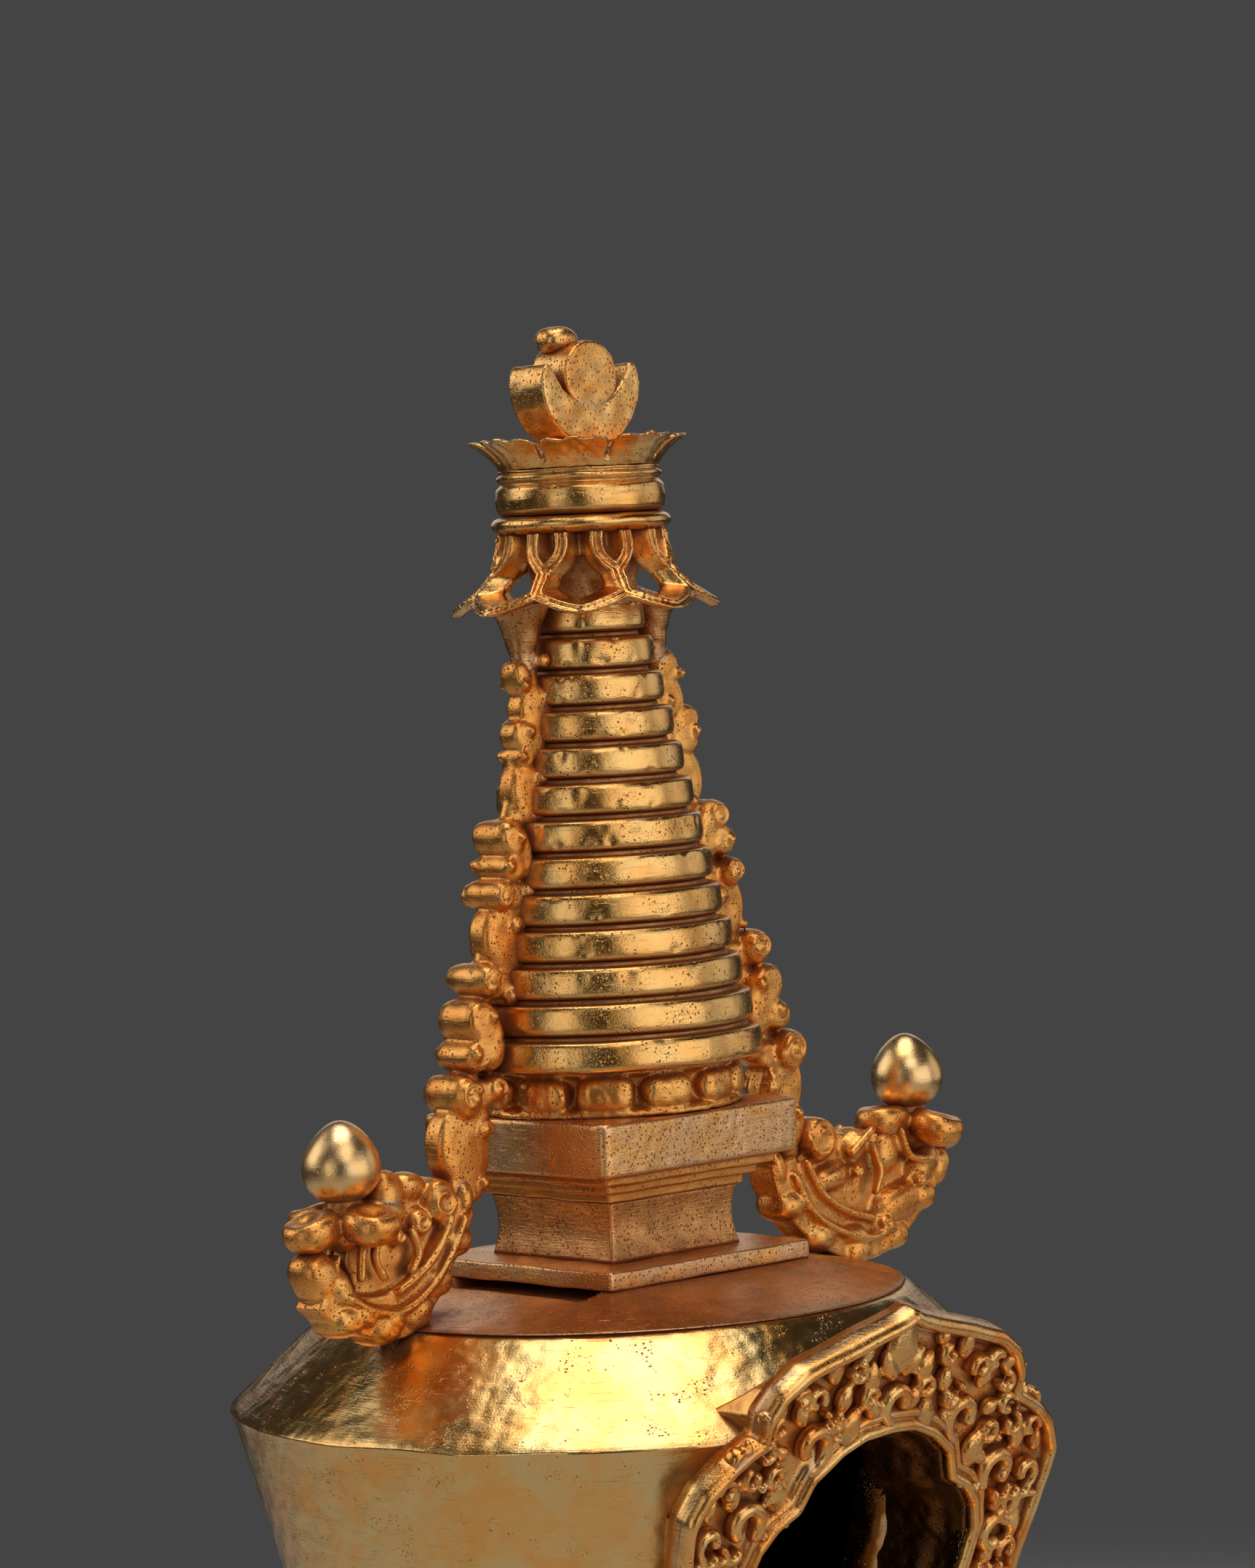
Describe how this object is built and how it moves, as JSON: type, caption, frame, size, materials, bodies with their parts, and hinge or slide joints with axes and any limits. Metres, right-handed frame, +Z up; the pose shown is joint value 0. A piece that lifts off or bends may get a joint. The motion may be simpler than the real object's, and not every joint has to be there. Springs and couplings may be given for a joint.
{
  "type": "gilt reliquary stupa",
  "caption": "Small gilt-bronze reliquary stupa: stepped square throne, hollow tapered dome with an arched niche, ringed spire with a parasol, flowered side streamers and a crescent finial.",
  "frame": {"origin": "centre of the square base, on the surface that it stands on", "axes": "+Z up along the spire, -Y out of the niche, +X towards the streamer on the viewer's right when facing the niche"},
  "size_m": [0.092, 0.092, 0.1764],
  "materials": {
    "gilt_burnished": "burnished fire gilding, with worn high points and red-brown tarnish in the grooves",
    "gilt_streamer": "satin fire gilding over cast and chased bronze, red-brown in the hollows, grey on worn tips",
    "bronze_patina": "dark red-brown oxidised bronze, ungilded, as cast",
    "copper_plate": "hammered copper sheet, dull"
  },
  "bodies": {
    "dome_body": {"base_plate": "copper_plate", "throne_plinth": "gilt_burnished", "throne_dado": "gilt_streamer", "corner_posts": "gilt_burnished", "throne_cornice": "gilt_burnished", "terrace_1": "gilt_burnished", "terrace_2": "gilt_burnished", "terrace_3": "gilt_burnished", "terrace_4": "gilt_burnished", "lotus_ring": "gilt_streamer", "dome_foot": "gilt_burnished", "dome_shell": "gilt_burnished", "dome_cap": "gilt_streamer", "niche_frame": "gilt_streamer", "niche_hood": "bronze_patina", "niche_reveal": "bronze_patina", "niche_scrollwork": "gilt_streamer", "niche_sill": "gilt_streamer", "socket_left": "bronze_patina", "socket_right": "bronze_patina"},
    "spire_body": {"harmika_base": "gilt_streamer", "harmika_neck": "gilt_streamer", "harmika_cornice": "gilt_streamer", "harmika_slab": "gilt_burnished", "lotus_collar": "gilt_streamer", "spire_spindle": "bronze_patina", "ring_01": "gilt_burnished", "ring_02": "gilt_burnished", "ring_03": "gilt_burnished", "ring_04": "gilt_burnished", "ring_05": "gilt_burnished", "ring_06": "gilt_burnished", "ring_07": "gilt_burnished", "ring_08": "gilt_burnished", "ring_09": "gilt_burnished", "ring_10": "gilt_burnished", "ring_11": "gilt_burnished", "ring_12": "gilt_burnished", "ring_13": "gilt_burnished", "parasol_canopy": "gilt_streamer", "parasol_bead": "gilt_burnished", "parasol_drum": "gilt_burnished", "lotus_crown": "gilt_streamer", "crescent_moon": "gilt_burnished", "sun_disc": "gilt_burnished", "finial_jewel": "gilt_streamer", "streamer_boss_left": "gilt_streamer", "streamer_boss_right": "gilt_streamer", "streamer_left": "gilt_streamer", "streamer_right": "gilt_streamer", "hook_left": "gilt_streamer", "hook_right": "gilt_streamer", "flower_petals_left": "gilt_streamer", "flower_petals_right": "gilt_streamer", "flower_bud_left": "gilt_burnished", "flower_bud_right": "gilt_burnished", "streamer_peg_left": "bronze_patina", "streamer_peg_right": "bronze_patina"}
  },
  "joints": [
    {"name": "spire_lift", "type": "slide", "parent": "dome_body", "child": "spire_body", "axis": [0, 0, 1], "range_m": [0, 0.015]}
  ]
}
